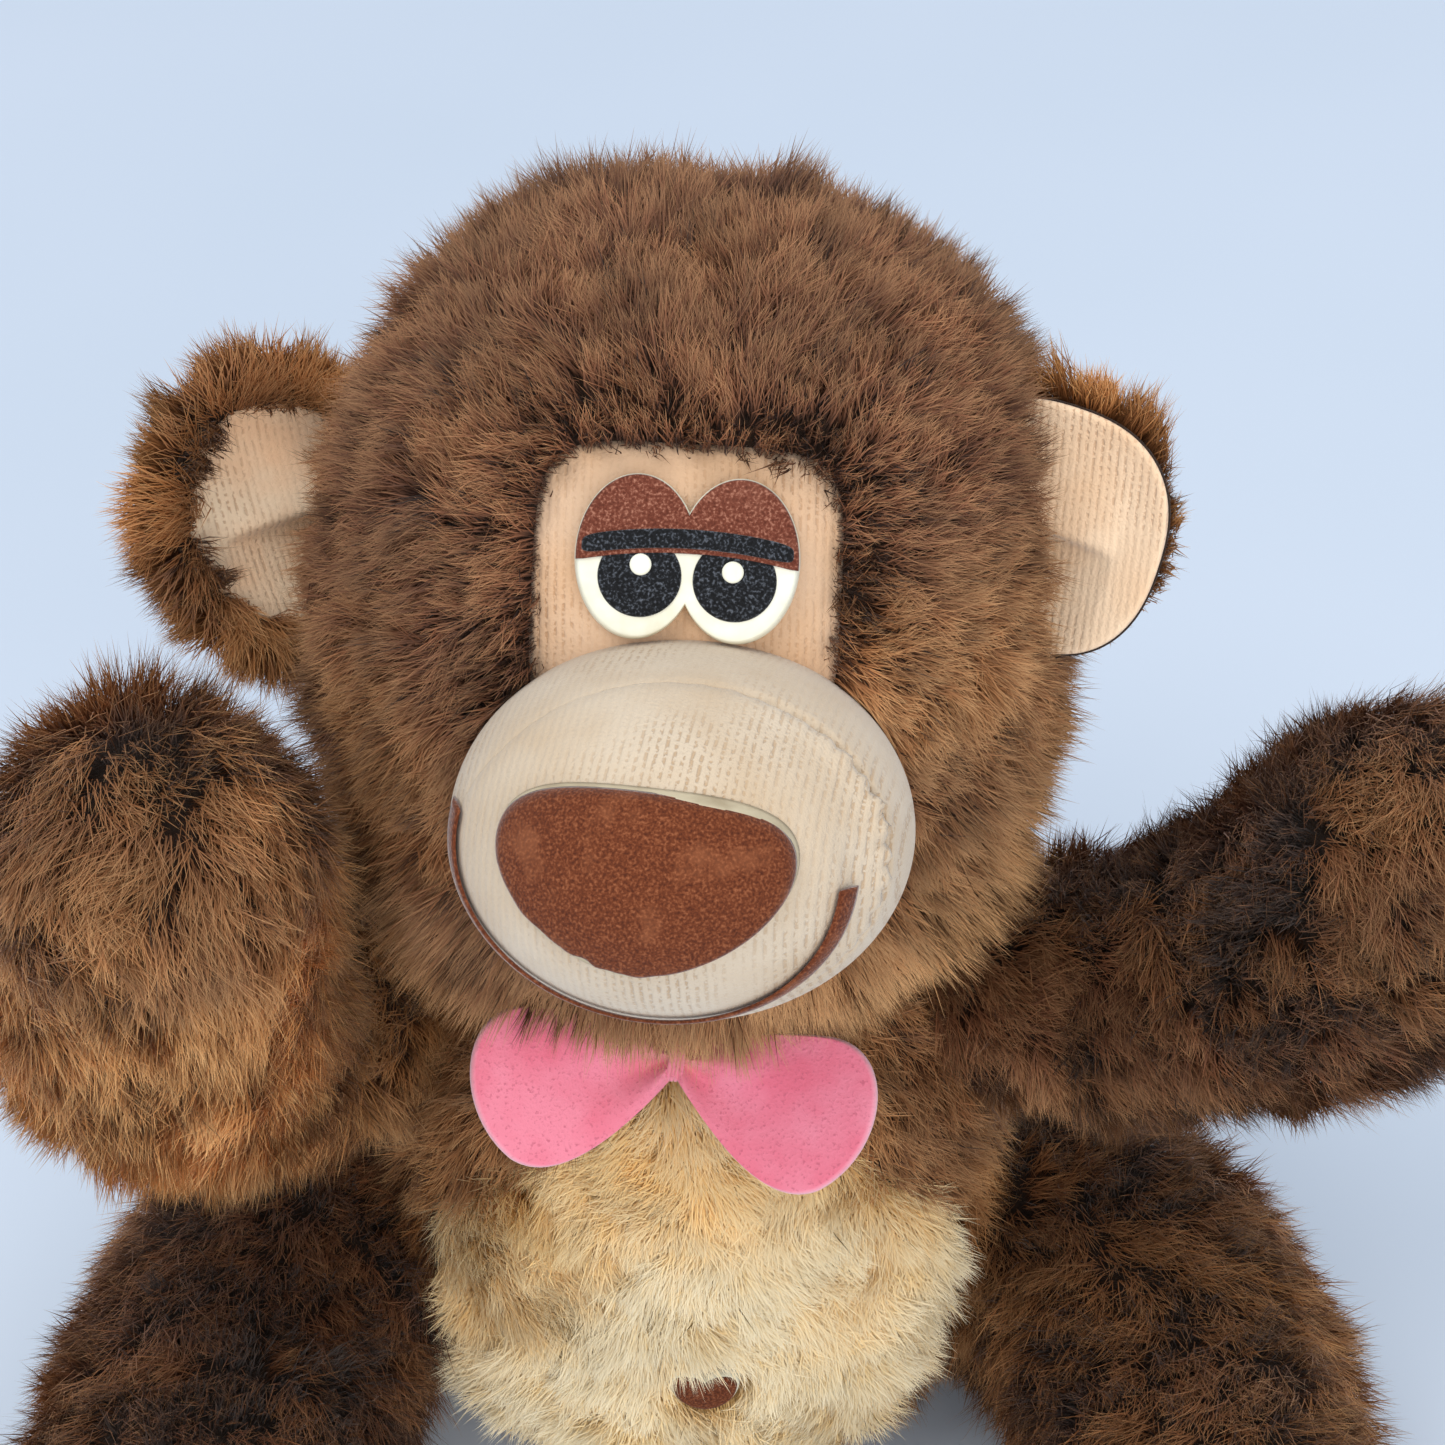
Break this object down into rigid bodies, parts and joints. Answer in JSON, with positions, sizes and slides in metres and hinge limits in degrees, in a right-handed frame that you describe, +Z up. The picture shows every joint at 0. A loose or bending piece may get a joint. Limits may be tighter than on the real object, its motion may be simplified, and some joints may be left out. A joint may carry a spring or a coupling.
{
  "type": "stuffed monkey",
  "caption": "Seated long-pile plush monkey with a knitted muzzle, moulded eyes and nose, cupped ears, raised arms, splayed legs and a flat felt bow.",
  "frame": {"origin": "on the flat seat under the body, on the toy's centre plane, at the height of the surface it sits on", "axes": "+Z up, -Y is the way the toy faces, +X towards the toy's left hand"},
  "size_m": [0.3146, 0.2131, 0.2994],
  "materials": {
    "brown_fur": "long-pile acrylic fur, matt",
    "cream_fur": "long-pile acrylic fur, matt, slightly stained",
    "knit": "brushed weft knit, matt",
    "fill": "loose polyester fibre",
    "plate_plastic": "moulded, satin",
    "brown_flock": "short flock on moulded plastic",
    "black_flock": "short flock on moulded plastic",
    "felt": "pressed felt, matt"
  },
  "bodies": {
    "body": {"body_fur": "brown_fur", "belly_fur": "cream_fur", "body_stuffing": "fill", "belly_button": "brown_flock", "belly_button_washer": "plate_plastic", "felt_bow": "felt", "bow_stitch": "felt"},
    "head": {"head_fur": "brown_fur", "face_patch": "knit", "head_stuffing": "fill", "eye_plate": "plate_plastic", "eyelid_flock": "brown_flock", "lash_band_flock": "black_flock", "pupil_flock_left": "black_flock", "pupil_flock_right": "black_flock", "eye_washer_left": "plate_plastic", "eye_washer_right": "plate_plastic", "muzzle_front": "knit", "muzzle_gusset": "knit", "muzzle_stuffing": "fill", "nose_plate": "brown_flock", "nose_washer": "plate_plastic", "mouth_strip": "brown_flock"},
    "ear_left": {"ear_fur_left": "brown_fur", "inner_ear_left": "knit"},
    "ear_right": {"ear_fur_right": "brown_fur", "inner_ear_right": "knit"},
    "arm_left": {"arm_fur_left": "brown_fur", "arm_stuffing_left": "fill"},
    "arm_right": {"arm_fur_right": "brown_fur", "arm_stuffing_right": "fill"},
    "leg_left": {"leg_fur_left": "brown_fur", "leg_stuffing_left": "fill"},
    "leg_right": {"leg_fur_right": "brown_fur", "leg_stuffing_right": "fill"}
  },
  "joints": [
    {"name": "head_turn", "type": "hinge", "parent": "body", "child": "head", "pos_m": [0, 0, 0.15], "axis": [0, 0, 1], "range_deg": [-15, 15], "stiffness_Nm_per_rad": 0.6},
    {"name": "ear_left_flap", "type": "hinge", "parent": "head", "child": "ear_left", "pos_m": [-0.069, 0.016, 0.229], "axis": [-0.276, 0.329, 0.9031], "range_deg": [-12, 12], "stiffness_Nm_per_rad": 0.02},
    {"name": "ear_right_flap", "type": "hinge", "parent": "head", "child": "ear_right", "pos_m": [0.0636, 0.0153, 0.2475], "axis": [0.208, 0.335, 0.919], "range_deg": [-12, 12], "stiffness_Nm_per_rad": 0.02},
    {"name": "arm_left_swing", "type": "hinge", "parent": "body", "child": "arm_left", "pos_m": [-0.064, 0, 0.12], "axis": [0.9578, -0.2873, 0], "range_deg": [-2, 12], "stiffness_Nm_per_rad": 0.6},
    {"name": "arm_right_swing", "type": "hinge", "parent": "body", "child": "arm_right", "pos_m": [0.063, 0, 0.122], "axis": [0, 1, 0], "range_deg": [-12, 12], "stiffness_Nm_per_rad": 0.6},
    {"name": "leg_left_spread", "type": "hinge", "parent": "body", "child": "leg_left", "pos_m": [-0.054, 0.014, 0.041], "axis": [0, 0, 1], "range_deg": [-12, 3], "stiffness_Nm_per_rad": 0.6},
    {"name": "leg_right_spread", "type": "hinge", "parent": "body", "child": "leg_right", "pos_m": [0.054, 0.014, 0.04], "axis": [0, 0, 1], "range_deg": [-3, 12], "stiffness_Nm_per_rad": 0.6}
  ]
}
